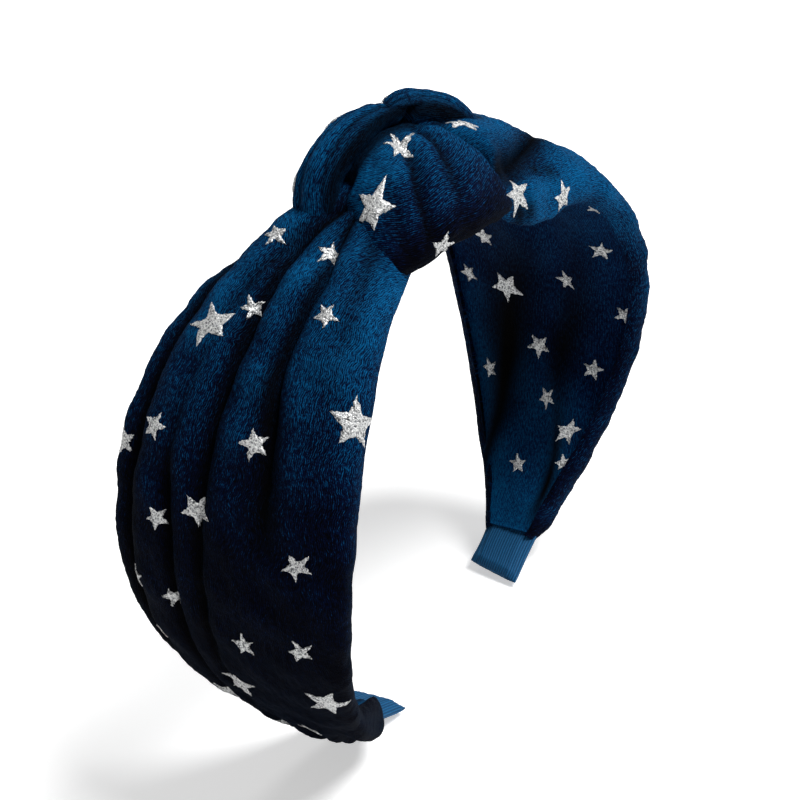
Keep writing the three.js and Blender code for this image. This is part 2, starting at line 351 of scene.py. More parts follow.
def velvet(name, deep, mid, lit, sheen, streak=1.0):
    """Knitted velour: fine wales along the cloth, broken into short strokes whose lighter colour is partly
    the pile's tone and partly painted glint, with painted shade in folds and painted light and shade from
    the cloth.
    """
    m = Nodes(name, Sheen_Weight=sheen, Sheen_Roughness=0.30, Sheen_Tint=(0.01, 0.22, 0.62, 1),
              Specular_IOR_Level=0.04)
    uv = m.add("ShaderNodeUVMap").outputs[0]
    strokes = m.noise(m.stretched(uv, (0.75, 2.3, 1)), 1.0, 3.0, 0.62)
    fine = m.noise(m.stretched(uv, (2.2, 4.2, 1)), 1.0, 2.0, 0.6)
    wale = m.add("ShaderNodeTexWave", Vector=m.stretched(uv, (0.25, 2.1, 1)), Scale=0.32,
                 Distortion=1.6, Detail=2.0)
    wale.bands_direction = "Y"
    patches = m.noise(m.stretched(uv, (0.05, 0.09, 1)), 1.0, 2.0, 0.5)
    pile = m.math("ADD", m.math("MULTIPLY", strokes, 0.62), m.math("MULTIPLY", fine, 0.38))
    pile = m.math("ADD", pile, m.math("MULTIPLY", wale.outputs[1], 0.10))
    pile = m.math("ADD", pile, m.math("MULTIPLY", patches, 0.22))
    # Painted light and shade from the cloth, added to the pile's tone.
    painted_light_and_shade = m.add("ShaderNodeAttribute")
    painted_light_and_shade.attribute_name = "painted_light_and_shade"
    tone = m.math("ADD", pile, painted_light_and_shade.outputs["Fac"])
    # From deep to lit: the pile's tone and painted glint, plus the painted light and shade.
    colour = m.ramp(tone, (0.49, deep), (0.64, mid), (0.86, lit))
    # Painted shade: the colour is multiplied darker where the cloth carries painted shade.
    painted_shade = m.add("ShaderNodeAttribute")
    painted_shade.attribute_name = "painted_shade"
    shade = m.math("SUBTRACT", 1.0, m.math("MULTIPLY", painted_shade.outputs["Fac"], 0.97))
    colour = m.mix(1.0, colour, shade, "MULTIPLY")
    rough = m.ramp(pile, (0.3, (0.98,) * 3), (0.9, (0.74,) * 3))
    normal = m.bump(pile, 0.95 * streak, 0.0007)
    return m.finish(colour, rough, normal)


def glitter(name):
    m = Nodes(name, Metallic=0.35, Specular_IOR_Level=0.6)
    place = m.add("ShaderNodeTexCoord").outputs["Object"]
    cells = m.add("ShaderNodeTexVoronoi", Vector=place, Scale=3200.0, Randomness=1.0)
    grain = m.noise(place, 2100.0, 2.0, 0.7)
    tone = m.math("ADD", m.math("MULTIPLY", cells.outputs["Color"], 0.55),
                  m.math("MULTIPLY", grain, 0.75))
    colour = m.ramp(tone, (0.40, (0.035, 0.04, 0.045)), (0.52, (0.36, 0.37, 0.38)),
                    (0.68, (0.80, 0.81, 0.81)), (0.9, (1.0, 1.0, 0.98)))
    rough = m.ramp(tone, (0.3, (0.65,) * 3), (0.8, (0.28,) * 3))
    normal = m.bump(tone, 0.8, 0.0004)
    return m.finish(colour, rough, normal)


def ribbon(name):
    m = Nodes(name, Sheen_Weight=0.25, Sheen_Roughness=0.4, Sheen_Tint=(0.1, 0.4, 0.7, 1),
              Specular_IOR_Level=0.25)
    uv = m.add("ShaderNodeUVMap").outputs[0]
    ribs = m.add("ShaderNodeTexWave", Vector=m.stretched(uv, (0.02, 1.0, 1)), Scale=0.42,
                 Distortion=0.6, Detail=1.0)
    ribs.bands_direction = "Y"
    thread = m.noise(m.stretched(uv, (3.0, 1.2, 1)), 1.0, 3.0, 0.6)
    tone = m.math("ADD", m.math("MULTIPLY", ribs.outputs[1], 0.5), m.math("MULTIPLY", thread, 0.5))
    colour = m.ramp(tone, (0.2, (0.001, 0.035, 0.10)), (0.8, (0.003, 0.10, 0.25)))
    return m.finish(colour, m.ramp(tone, (0.2, (0.85,) * 3), (0.9, (0.6,) * 3)),
                    m.bump(tone, 0.5, 0.0004))


def plain(name, dark, light, scale, rough, pores=0.0):
    """Plastic, sponge or thread: a two-tone mottle with a grain."""
    m = Nodes(name)
    place = m.add("ShaderNodeTexCoord").outputs["Object"]
    grain = m.noise(place, scale, 4.0, 0.6)
    height = grain
    if pores:
        cells = m.add("ShaderNodeTexVoronoi", Vector=place, Scale=pores)
        height = m.math("ADD", m.math("MULTIPLY", grain, 0.4), cells.outputs["Distance"])
    colour = m.ramp(height, (0.25, dark), (0.75, light))
    return m.finish(colour, m.ramp(grain, (0.3, (rough + 0.12,) * 3), (0.7, (rough - 0.1,) * 3)),
                    m.bump(height, 0.35, 0.0003))


VELVET = velvet("star_velvet", (0.0001, 0.0002, 0.0025), (0.0003, 0.0050, 0.030),
                (0.0010, 0.125, 0.330), 0.06)
LINING = velvet("star_velvet_inside", (0.0001, 0.0007, 0.007), (0.0003, 0.0100, 0.047),
                (0.0006, 0.075, 0.200), 0.08, 0.6)
GLITTER = glitter("silver_glitter")
RIBBON = ribbon("ribbed_ribbon")
PLASTIC = plain("core_plastic_grain", (0.010, 0.011, 0.013), (0.022, 0.024, 0.028), 900.0, 0.45)
SPONGE = plain("white_sponge", (0.45, 0.43, 0.37), (0.80, 0.78, 0.70), 700.0, 0.9, 1300.0)
THREAD = plain("navy_thread", (0.002, 0.010, 0.028), (0.006, 0.03, 0.075), 4000.0, 0.75)


# ---------------------------------------------------------------- printed stars

# Rings of a star from its middle out: share of the outline, and height over the cloth in mm
STAR_RINGS = ((0.45, 0.2), (0.8, 0.2), (0.96, 0.16), (1.0, 0.02), (1.0, -0.35))
STAR_TOP, STAR_UNDER = 0.2, -0.35


def star_outline(radius, turn, seed, edge=7):
    """Outline of a hand-drawn five-pointed star, in mm round its own middle."""
    r = np.random.RandomState(seed)
    corners = []
    for k in range(10):
        reach = radius * (r.uniform(0.86, 1.1) if k % 2 == 0 else r.uniform(0.38, 0.50))
        angle = turn + math.pi / 5 * k + r.uniform(-0.09, 0.09)
        corners.append((reach * math.cos(angle), reach * math.sin(angle)))
    corners = np.array(corners)
    t = np.arange(edge)[:, None] / edge
    run = [a * (1 - t) + b * t for a, b in zip(corners, np.roll(corners, -1, 0))]
    out = np.concatenate(run)
    return out + r.normal(0, 0.11, out.shape)


def stars(name, cloth, marks):
    """One mesh of thin printed stars on a cloth, from (s, y, n, radius, turn in degrees) marks."""
    points, faces = [], []
    count = 0
    for number, (s, y, n, radius, turn) in enumerate(marks):
        i, j = cloth.nearest(s, y, n)
        i, j = float(i), float(j)
        a = cloth.at(np.array([i - 1, i + 1, i, i]), np.array([j, j, j - 1, j + 1]), np.zeros(4))
        du = np.linalg.norm(a[1] - a[0]) / 2 / M
        dv = np.linalg.norm(a[3] - a[2]) / 2 / M
        outline = star_outline(radius, math.radians(turn), 31 + number)
        size = len(outline)
        places = [outline * share for share, _ in STAR_RINGS]
        places = [np.zeros((1, 2))] + places + [np.zeros((1, 2))]
        lifts = [np.full(size, up) for _, up in STAR_RINGS]
        lifts = [np.full(1, STAR_TOP)] + lifts + [np.full(1, STAR_UNDER)]
        place, lift = np.concatenate(places), np.concatenate(lifts) * M
        points.append(cloth.at(i + place[:, 0] / du, j + place[:, 1] / dv, lift))
        k = np.arange(size)
        k1 = (k + 1) % size
        first = count + 1
        last = count + 1 + len(STAR_RINGS) * size
        tri = [(count, first + x, first + z) for x, z in zip(k, k1)]
        for level in range(len(STAR_RINGS) - 1):
            low = first + level * size
            tri += [(low + x, low + size + x, low + size + z, low + z) for x, z in zip(k, k1)]
        low = first + (len(STAR_RINGS) - 1) * size
        tri += [(last, low + z, low + x) for x, z in zip(k, k1)]
        faces += [f[::-1] for f in tri] if cloth.turned else tri
        count += len(place)
    return mesh_object(name, np.concatenate(points), faces, None, GLITTER)


# ---------------------------------------------------------------- wings

WING_START, WING_FULL = 26, 88
ROOT_HALF_WIDTH, FULL_HALF_WIDTH, NECK_HALF_WIDTH = 17.5, 30.5, 7.97


def wing_half_width(s):
    """The CAD wing's half-width."""
    opening = np.clip((s - WING_START) / (WING_FULL - WING_START), 0, 1)
    closing = np.clip((s - WING_FULL) / (NECK - WING_FULL), 0, 1)
    rise = ROOT_HALF_WIDTH + (FULL_HALF_WIDTH - ROOT_HALF_WIDTH) * np.sin(opening * math.pi / 2)
    fall = NECK_HALF_WIDTH + (FULL_HALF_WIDTH - NECK_HALF_WIDTH) * np.cos(closing * math.pi / 2)
    return np.where(s < WING_FULL, rise, fall)


def wing_cover(shape, valleys, gather, side, start=14.0, end=177.0, rows=240, columns=132,
               lead=None, painted_shade_spots=(), shades=()):
    """The outer cloth of a wing: an arch with rolled edges and lips turned in, cut by folds.

    shape holds tables by arc length: plus and minus half-widths, crest, middle, droop of each
    edge, painted light and shade, and puff of the lips. valleys holds (path, depth, width, lean),
    each with painted shade along it, shades (path, strength, width) of painted shade and spots of
    painted shade (s, y, n, radius, strength). lead moves the end under the knot, with painted shade
    along that edge."""
    s = np.linspace(start, end, rows)[:, None]
    lip = 0.32
    q = np.linspace(-1 - lip, 1 + lip, 400)[None, :]
    inside = np.clip(np.abs(q), 0, 1)
    tuck = np.clip((np.abs(q) - 1) / lip, 0, 1) * 1.4
    w = np.where(q > 0, shape["plus"](s), shape["minus"](s))
    droop = np.where(q > 0, shape["droop_plus"](s), shape["droop_minus"](s))
    crest = shape["crest"](s)
    middle = shape["middle"](s)
    power = 2 / 2.5
    theta = math.pi / 2 * inside
    y = w * np.sin(theta)**power
    n = middle + (crest - middle) * np.cos(theta)**power
    lip_width = np.minimum(4.2, w * 0.3)
    y = y - lip_width * (1 - np.cos(tuck))
    n = n - (middle + 3.1 + shape["puff"](s) * np.where(q < 0, 1, 0.5)) * np.sin(tuck)
    n = n - droop * (np.abs(y) / w)**3
    y = y * np.sign(q)
    s_all = np.broadcast_to(s, y.shape).copy()
    # the folds, pressed in along the section's own normal, with painted shade along each
    dy, dn = np.gradient(y, axis=1), np.gradient(n, axis=1)
    size = np.sqrt(dy**2 + dn**2) + 1e-9
    out_y, out_n = -dn / size, dy / size
    press = np.zeros_like(y)
    shift = np.zeros_like(y)
    painted_shade = np.zeros_like(y)
    top = np.clip((n - middle + 2) / 2, 0, 1) * np.where(np.abs(q) > 1.1, 0, 1)
    for path, depth, width, lean in valleys:
        away = y - path(s)
        d = depth(s)
        reach = width(s)
        dent = np.exp(-(np.abs(away) / reach)**1.35) * top
        press -= d * dent
        shift -= lean * d * (away / reach) * np.exp(-(away / reach / 1.4)**2) * top
        dark = np.exp(-(np.abs(away) / reach / 1.12)**1.8) * np.clip(d / 1.6, 0, 1)
        painted_shade = np.maximum(painted_shade, dark * top)
    # gathers at the neck, with painted shade in their hollows
    count, height, phase = gather
    share = y / w
    near = np.clip((s - 140) / 26, 0, 1)**1.6 * np.clip((end - s) / 9, 0.0, 1)
    lobes = np.cos(math.pi * count * (share + 0.06 * np.sin(s / 7 + phase)) + phase)
    press += near * height * (lobes * 0.75 + 0.35 * np.cos(2.7 * count * share + phase * 2 + s / 9)) * top
    painted_shade = np.maximum(painted_shade, near * np.clip(-lobes, 0, 1)**2 * 0.7 * top)
    press += 0.22 * ripple(s_all, y, 11, 3) + 0.07 * ripple(s_all, y, 2.6, 5)
    press += 0.05 * ripple(s_all, y, 1.3, 8)
    y = y + out_y * press * np.where(out_n > -0.2, 1, 0.3) + shift
    n = n + out_n * press
    if lead is not None:
        back = np.clip((34 - s) / (34 - start), 0, 1)**1.5
        s_all = s_all + lead(y) * back
        n = n + 4.5 * np.clip(1 - (s - start) / 7.0, 0, 1)**1.5 * np.clip(-n / 4, 0, 1)
        n = n - 4.2 * np.clip(1 - (s - start) / 4.0, 0, 1)**2.2 * np.clip(n / 3, 0, 1)
        # Painted shade along the edge tucked under the knot.
        painted_shade = np.maximum(painted_shade, 0.9 * np.clip(1 - (s - start) / 1.8, 0, 1))
    for path, strength, width in shades:
        painted_shade = np.maximum(painted_shade, strength(s) * np.exp(-((y - path(s)) / width(s))**2) * top)
    # Painted shade round each spot.
    for at_s, at_y, at_n, radius, strength in painted_shade_spots:
        gap = (s_all - at_s)**2 + (y - at_y)**2 + (n - at_n)**2
        painted_shade = np.maximum(painted_shade, strength * np.exp(-gap / radius**2))
    # Painted light and shade: lighter on ridges, darker in valleys.
    painted_light_and_shade = shape["painted_light_and_shade"](s_all) + 0.055 * np.clip(press * 0.6 + 0.2, -1, 1)
    # Painted shade on the lips turned in.
    painted_light_and_shade = painted_light_and_shade - 0.07 * np.clip(tuck / 1.4, 0, 1) * np.clip((s_all - 40) / 15, 0, 1)
    strips = even(np.stack([s_all * side, y, n, painted_shade, painted_light_and_shade], -1), columns)
    return Cloth(strips[..., :3], painted_shade=strips[..., 3], painted_light_and_shade=strips[..., 4])


right_shape = {
    "plus": table((10, 12), (18, 15), (26, 18), (34, 21.5), (45, 26), (60, 29.8), (88, 32.0),
                  (110, 31), (130, 26.5), (150, 18.5), (165, 11.5), (174, 8.6), (177, 7.2)),
    "minus": table((10, 13), (18, 16.5), (26, 18.8), (34, 21), (45, 24), (60, 27.5), (88, 30.3),
                   (110, 28.6), (130, 24.2), (150, 18.6), (165, 14.0), (174, 10.8), (177, 9.0)),
    "crest": table((10, 8.5), (18, 9.3), (26, 8.8), (40, 9.2), (60, 8.8), (88, 7.6), (120, 6.4),
                   (145, 5.2), (165, 4.8), (172, 3.9), (177, 2.8)),
    "middle": table((14, 1), (60, 1.0), (150, 0.8), (177, 0.2)),
    "droop_plus": table((14, 0), (60, 0), (177, 0)),
    "droop_minus": table((10, 6.0), (26, 4.5), (40, 1.6), (80, 0), (177, 0)),
    # Painted light and shade: lighter near the knot, darkening to near black towards the neck.
    "painted_light_and_shade": table((14, -0.02), (26, 0.045), (50, 0.02), (75, -0.07), (100, -0.17), (130, -0.28),
                 (177, -0.32)),
    "puff": table((150, 0), (166, 3.6), (174, 1.5), (177, 0)),
}
# Where the first four of these folds run starts from points read off the photo through the fitted
# camera by a helper program, rounded and moved by hand. Depths and widths are by eye.
right_valleys = (
    (table((14, 8), (18, 12), (27, 16.2), (40, 19.2), (50, 21.9), (62, 24.4), (76, 25.5), (88, 26.6),
           (110, 26), (130, 22.6), (160, 12)),
     table((14, 2.4), (26, 4.2), (60, 4.8), (100, 3.4), (130, 2.0), (160, 0.6)),
     table((14, 1.9), (60, 2.6), (160, 2.2)), 0.35),
    (table((14, -4), (22, -0.2), (33, 3.0), (43, 3.6), (53, 3.8), (62, 4.4), (79, 4.6), (109, 5.2),
           (140, 6), (165, 5)),
     table((10, 1.6), (22, 2.6), (32, 5.2), (55, 4.6), (80, 2.6), (110, 1.8), (140, 0.7)),
     table((14, 2.4), (50, 2.8), (90, 2.2), (120, 1.6)), 0.35),
    (table((14, -6), (23, 3.2), (33, 7.0), (43, 9.5), (53, 11), (66, 13.4), (79, 14.4),
           (92, 13.2), (107, 13), (122, 12.6), (150, 10)),
     table((14, 1.0), (33, 1.1), (60, 0.5), (76, 1.2), (92, 2.1), (120, 1.7), (150, 0.3)),
     table((14, 1.4), (60, 1.8), (120, 1.3)), 0.3),
    (table((14, -7), (23, -6), (38, -8.4), (48, -7.6), (58, -7.7), (66, -9.2), (75, -10.6), (100, -13)),
     table((10, 1.6), (22, 2.6), (32, 5.2), (44, 5.2), (60, 4.6), (76, 2.8), (95, 0.0)),
     table((14, 1.9), (50, 2.3), (76, 3.4), (95, 4)), 0.42),
    (table((14, -9), (24, -13), (40, -17), (60, -20), (90, -22)),
     table((14, 1.2), (30, 0.9), (50, 0.5), (80, 0.0)),
     table((14, 1.6), (60, 3.0)), 0.1),
)
left_shape = {
    "plus": table((10, 12), (20, 15), (26, 17.5), (34, 21), (45, 25), (60, 29), (88, 33.0),
                  (110, 32.0), (130, 27), (150, 19.8), (165, 12.4), (174, 8.6), (177, 7.2)),
    "minus": table((9, 22), (14, 25), (20, 26), (26, 26.5), (34, 26.5), (45, 27), (60, 28.0), (88, 28.6),
                   (110, 26), (130, 21.2), (150, 15.2), (165, 10.6), (174, 8.6), (177, 7.2)),
    "crest": table((6, 15.4), (14, 15.0), (22, 13.6), (35, 12.2), (50, 10.2), (60, 8.8), (80, 7.4),
                   (120, 6.6), (150, 6.8), (166, 6.4), (174, 4.0), (177, 3.0)),
    "middle": table((10, 1), (60, 1.0), (150, 0.8), (177, 0.2)),
    "droop_plus": table((10, 1), (60, 0), (177, 0)),
    "droop_minus": table((9, 2), (15, 6), (22, 9.5), (32, 9.5), (40, 6), (52, 2), (70, 0)),
    # Painted light and shade: a little lighter near the knot, a little darker towards the neck.
    "painted_light_and_shade": table((6, 0.02), (24, 0.06), (60, 0.06), (90, 0.0), (130, -0.05), (177, -0.08)),
    "puff": table((150, 0), (166, 1.2), (174, 0.8), (177, 0)),
}
left_valleys = (
    (table((10, -23), (24, -21), (34, -18), (46, -12)),
     table((10, 1.0), (20, 4.5), (32, 5.5), (42, 1.6), (52, 0)),
     table((10, 2.6), (30, 3.2), (50, 4)), 0.1),
    (table((10, 5), (24, 3), (40, 6), (60, 9), (100, 12)),
     table((10, 2.2), (30, 2.2), (60, 1.2), (100, 0.4)),
     table((10, 2.2), (60, 3.2)), 0.3),
    (table((10, 11), (24, 12), (45, 19), (70, 24), (110, 25), (140, 17)),
     table((10, 2.0), (40, 2.2), (90, 1.4), (140, 0.4)),
     table((10, 1.8), (80, 2.2)), 0.3),
    (table((10, -8), (28, -6), (50, -9), (75, -12), (110, -12)),
     table((10, 1.0), (30, 1.6), (60, 1.6), (110, 0.4)),
     table((10, 2.2), (80, 3.2)), 0.2),
)

# The paths follow the first, fourth and second of right_valleys.
right_shades = (
    (table((14, 9.5), (18, 12.5), (27, 16.2), (40, 19.2), (50, 21.4), (62, 24.0), (76, 25), (120, 24.5)),
     table((14, 0.9), (70, 0.95), (120, 0.6)), table((14, 2.0), (40, 2.6), (70, 2.4), (120, 2.0))),
    (table((14, -5), (38, -7.2), (58, -6.6), (66, -8), (80, -10)),
     table((14, 0.6), (45, 0.9), (66, 0.95), (76, 0.5), (84, 0)),
     table((14, 1.6), (50, 2.0), (66, 3.0), (84, 3))),
    (table((14, -1), (33, 3.6), (53, 4.4), (79, 5.2), (109, 5.2)),
     table((14, 0.5), (33, 0.9), (60, 0.85), (90, 0.4), (109, 0)), table((14, 1.8), (109, 2.4))),
)

# The left wing's spots lie where the photo is dark beside the knot. They were placed to match
# where the model's cloth falls in the picture.
# These spots are painted shade beside the knot.
covers = {
    "right": wing_cover(right_shape, right_valleys, (4.3, 1.9, 0.5), -1, start=10.0,
                        shades=right_shades),
    "left": wing_cover(left_shape, left_valleys, (4.6, 1.1, 1.9), 1, start=9.0,
                       painted_shade_spots=((16, -25.3, -6.4, 4.2, 0.97), (20, -25.6, -6.5, 3.4, 0.9),
                              (27, -19, 1.6, 2.6, 0.85), (31, -20.5, 1.0, 2.6, 0.9),
                              (35, -22.3, 0.8, 2.4, 0.8)),
                       lead=table((-28, -13), (-25.5, -9), (-22, -1), (-18, 3), (-12.5, 0), (-6, -3),
                                  (1, -6), (12, -3), (18, 1))),
}


def wing_foam(cover, end, rows=90, columns=60):
    """The sponge in a wing: it fills the cover down to the hoop, under the same folds."""
    source = cover.grid
    level = 1.3
    first = np.argmax(np.abs(source[:, 60, 0]) > 31.0)
    last = np.argmax(np.abs(source[:, 60, 0]) > end)
    picked = np.linspace(first, last, rows).astype(int)
    inner = cover.inset(1.9)[picked]
    rings = []
    for row in inner:
        above = row[row[:, 2] > level + 0.3]
        row = even(above[None], columns)[0]
        under = row[::-1].copy()
        under[:, 2] = level
        rings.append(np.concatenate([row, under]))
    return np.array(rings)


def wing_lining(side, folds, shift, puff, start=22.0, end=176.0, rows=190, columns=84):
    """The cloth that closes a wing inside, with its edges under the cover's lips."""
    s = np.linspace(start, end, rows)[:, None]
    q = np.linspace(-1, 1, columns)[None, :]
    w = wing_half_width(s) - 1.7
    y = w * q + shift(s) * (1 - 0.4 * q)
    n = -2.0 + 0.5 * np.abs(q)**6 + np.zeros_like(y)
    n = n - 0.9 * np.clip((s - 160) / 8, 0, 1) - 0.6 * puff(s) * np.abs(q)**2
    painted_shade = np.zeros_like(y)
    for path, depth, width, dark in folds:
        away = (y - path(s)) / width(s)
        n = n - depth(s) * np.exp(-away**2)
        # Painted shade along each fold.
        painted_shade = np.maximum(painted_shade, dark(s) * np.exp(-away**2))
    n = n - 0.25 * (1 + ripple(s + 0 * y, y, 16, 11)) * (1 - np.abs(q)**4)
    # Painted light and shade: darker across the middle on a slant, lighter towards the neck and at the
    # edges.
    painted_light_and_shade = (table((22, -0.02), (50, -0.05), (80, -0.08), (115, -0.10), (138, 0.0), (176, 0.05))(
        s + 0.9 * y) + 0.05 * np.abs(q)**4 - 0.03 * (n + 2.2))
    grid = np.stack([np.broadcast_to(s, y.shape) * side, y, n], -1)
    inside = hoop(np.stack([grid[..., 0], y, n - 5], -1))
    return Cloth(grid, outward=inside - hoop(grid), painted_shade=painted_shade, painted_light_and_shade=painted_light_and_shade)


# Both paths start from points that the same helper program gave, rounded and moved by hand.
# The last table of each fold is the painted shade along it.
lining_folds = (
    (table((22, 10), (60, 12), (90, 7), (116, 12), (139, 12), (160, 13.5), (176, 9)),
     table((22, 0), (60, 1.2), (100, 2.2), (140, 2.2), (165, 0.8), (176, 0)),
     table((22, 6), (80, 9), (116, 9.5), (139, 5.5), (152, 3.2), (176, 2)),
     table((22, 0), (80, 0.4), (105, 0.95), (160, 0.98), (176, 0.6))),
    (table((22, -10), (60, -16), (100, -10), (128, -4), (143, -6), (154, -7.3), (176, -6)),
     table((22, 0), (70, 1.2), (120, 1.8), (150, 2.2), (176, 0)),
     table((22, 5), (100, 6), (128, 5), (143, 2.6), (176, 1.8)),
     table((22, 0), (90, 0.4), (120, 0.92), (138, 0.7), (150, 0.95), (168, 0.9), (176, 0.2))),
)
even_edges = table((22, 0), (176, 0))
left_shift = table((22, 0), (45, 0.2), (60, 0.9), (88, 2.4), (110, 3.0), (130, 2.8), (150, 2.2), (165, 0.9),
                   (176, 0))
linings = {"right": wing_lining(-1, lining_folds, even_edges, right_shape["puff"]),
           "left": wing_lining(1, lining_folds, left_shift, left_shape["puff"])}


# ---------------------------------------------------------------- knot

def knot_wrap(rows=76, columns=210):
    """The band round the crown, through a left, a middle and a right guide loop."""
    left = ((-13, -1, 13.5), (-19, -6, 11.5), (-25, -12, 7.5), (-30, -18, -0.5), (-24, -17, -6.5),
            (-16, -2, -4), (-14, 8, -4), (-12, 14, 2), (-10, 8, 9))
    middle = ((0, -3, 15.8), (-3, -12.5, 14.8), (-8, -20.5, 8.4), (-10, -24.6, -1.0), (-6, -19, -6.0),
              (0, -2, -4), (2, 10, -4.2), (4, 17, 2), (2, 9, 11.5))
    right = ((16.5, -3, 11.5), (15.8, -12, 10.5), (16, -21, 6), (15, -28.2, -4.5), (11, -22, -8.5),
             (14, -2, -4), (14, 10, -4), (15, 15, 2), (16, 8, 8))
    a, b, c = (spline(p, columns, closed=True)[None] for p in (left, middle, right))
    t = np.linspace(0, math.pi, rows)[:, None]
    q = (-np.cos(t) * np.abs(np.cos(t))**(-0.25))[..., None]
    rise = (np.sin(t)**0.62)[..., None]
    flat = a * q * (q - 1) / 2 + b * (1 - q * q) + c * q * (q + 1) / 2
    centre = flat.mean(axis=1, keepdims=True)
    across = np.roll(flat, -1, 1) - np.roll(flat, 1, 1)
    along = c - a
    out = unit(np.cross(along, across))
    out = np.where((out * (flat - centre)).sum() < 0, -out, out)
    grid = flat - out * 7.5 * (1 - rise)
    phi = np.arange(columns)[None, :] / columns * 9
    q = q[..., 0]
    press = np.zeros(q.shape[:1] + (columns,))
    painted_shade = np.zeros_like(press)
    for line, depth, width in (
            (table((0, -0.10), (1.2, -0.18), (2.4, -0.28), (3.2, -0.30)),
             table((0, 0.8), (0.8, 2.4), (2.2, 2.2), (3.2, 0.3)), 0.10),
            (table((0, 0.30), (1, 0.28), (2, 0.20), (3, 0.12)),
             table((0, 1.2), (0.8, 2.2), (1.6, 1.6), (2.6, 0.4)), 0.11),
            (table((0, -0.62), (1.4, -0.58), (3, -0.60)),
             table((0, 0.3), (1, 0.4), (2.5, 0.8), (3, 0.2)), 0.12)):
        away = (q - line(phi)) / width
        live = np.clip(phi / 0.4, 0, 1) * np.clip((3.4 - phi) / 0.4, 0, 1)
        press -= depth(phi) * live * np.exp(-np.abs(away)**1.5)
        # Painted shade in the creases.
        painted_shade = np.maximum(painted_shade, 0.8 * np.clip(depth(phi) / 1.6, 0, 1) * live
                          * np.exp(-np.abs(away / 0.7)**2))
    press += 0.25 * ripple(phi * 16, q * 20, 12, 21) + 0.08 * ripple(phi * 16, q * 20, 3, 22)
    grid = grid + out * press[..., None]
    # Painted shade at the band's edges, where it tucks under.
    painted_shade = np.maximum(painted_shade, np.clip(1 - rise[..., 0] * 1.9, 0, 1) + 0 * press)
    # Painted light and shade round the band: lighter on top, darker underneath.
    painted_light_and_shade = table((0, 0.05), (1, 0.055), (1.8, -0.01), (2.4, -0.09), (3.2, -0.25), (6, -0.26),
                (7.5, 0.0), (9, 0.03))(phi) + 0.02 * press
    # Painted shade under the roll.
    painted_shade_under_roll = np.clip((0.45 - np.minimum(phi, np.abs(9 - phi) * 0.5)) / 0.35, 0, 1)
    painted_shade = np.maximum(painted_shade, 0.9 * painted_shade_under_roll)
    return Cloth(grid, closed=True, painted_shade=painted_shade, outward=hoop(grid + out) - hoop(grid), painted_light_and_shade=painted_light_and_shade)


def knot_roll(rows=150, columns=84):
    """The roll of cloth looped over the back of the knot."""
    path = spline(((-19.5, 5, -3), (-18.3, 6.5, 4), (-14.5, 7, 10.4), (-8.4, 6.2, 14.4),
                   (-2, 4.5, 16.6), (5, 2, 17.3), (12, -1, 16.0), (18, -4.5, 12.8), (23, -8, 8)), rows)
    t = np.linspace(0, 1, rows)[:, None]
    wide = table((0, 6), (0.15, 7.0), (0.4, 7.0), (0.62, 5.8), (0.8, 6.0), (1, 4.5))(t)
    deep = table((0, 4.5), (0.2, 5.0), (0.45, 5.0), (0.6, 3.4), (0.72, 4.9), (1, 3.5))(t)
    tangent = unit(np.gradient(path, axis=0))
    out = path - np.array([0.0, -4.0, 0.0])
    out = unit(out - (out * tangent).sum(-1, keepdims=True) * tangent)
    across = np.cross(tangent, out)
    a = np.linspace(0, 2 * math.pi, columns, endpoint=False)[None, :]
    lobes = np.zeros((rows, columns))
    painted_shade = np.zeros_like(lobes)
    for where, depth, width in ((0.45, 1.2, 0.16), (1.25, 1.5, 0.16), (2.1, 1.0, 0.2), (-0.6, 1.0, 0.25)):
        centre = math.pi / 2 - 0.9 + where * 0.8 + 0.35 * np.sin(t * 4 + where)
        away = (np.angle(np.exp(1j * (a - centre)))) / width
        live = np.sin(math.pi * np.clip(t, 0.02, 0.98))**0.6
        lobes = lobes - depth * live * np.exp(-np.abs(away)**1.4)
        # Painted shade in the creases.
        painted_shade = np.maximum(painted_shade, 0.75 * live * np.exp(-np.abs(away / 0.6)**2))
    lobes = lobes - 1.5 * np.exp(-((t - 0.60 - 0.012 * a) / 0.022)**2)
    # Painted shade in the notch.
    painted_shade = np.maximum(painted_shade, 0.7 * np.exp(-((t - 0.60 - 0.012 * a) / 0.014)**2))
    # Painted shade on the roll's side next to the wrap.
    front = np.angle(np.exp(1j * (a + 0.30)))
    painted_shade = np.maximum(painted_shade, 0.95 * np.exp(-np.abs(front / 0.62)**3))
    lobes = lobes + 0.25 * ripple(t * 50, a * 6, 12, 41) + 0.08 * ripple(t * 50, a * 6, 3, 42)
    grid = (path[:, None] + across[:, None] * (np.cos(a) * (wide + lobes))[..., None]
            + out[:, None] * (np.sin(a) * (deep + lobes))[..., None])
    # Painted light and shade: a little darker in the creases.
    return Cloth(grid, closed=True, painted_shade=painted_shade, painted_light_and_shade=0.045 + 0.02 * lobes)


wrap = knot_wrap()
roll = knot_roll()


# ---------------------------------------------------------------- end sleeves and threads

SLEEVE_HALF_WIDTH, SLEEVE_START, SLEEVE_END = 7.5, 169.0, 188.6


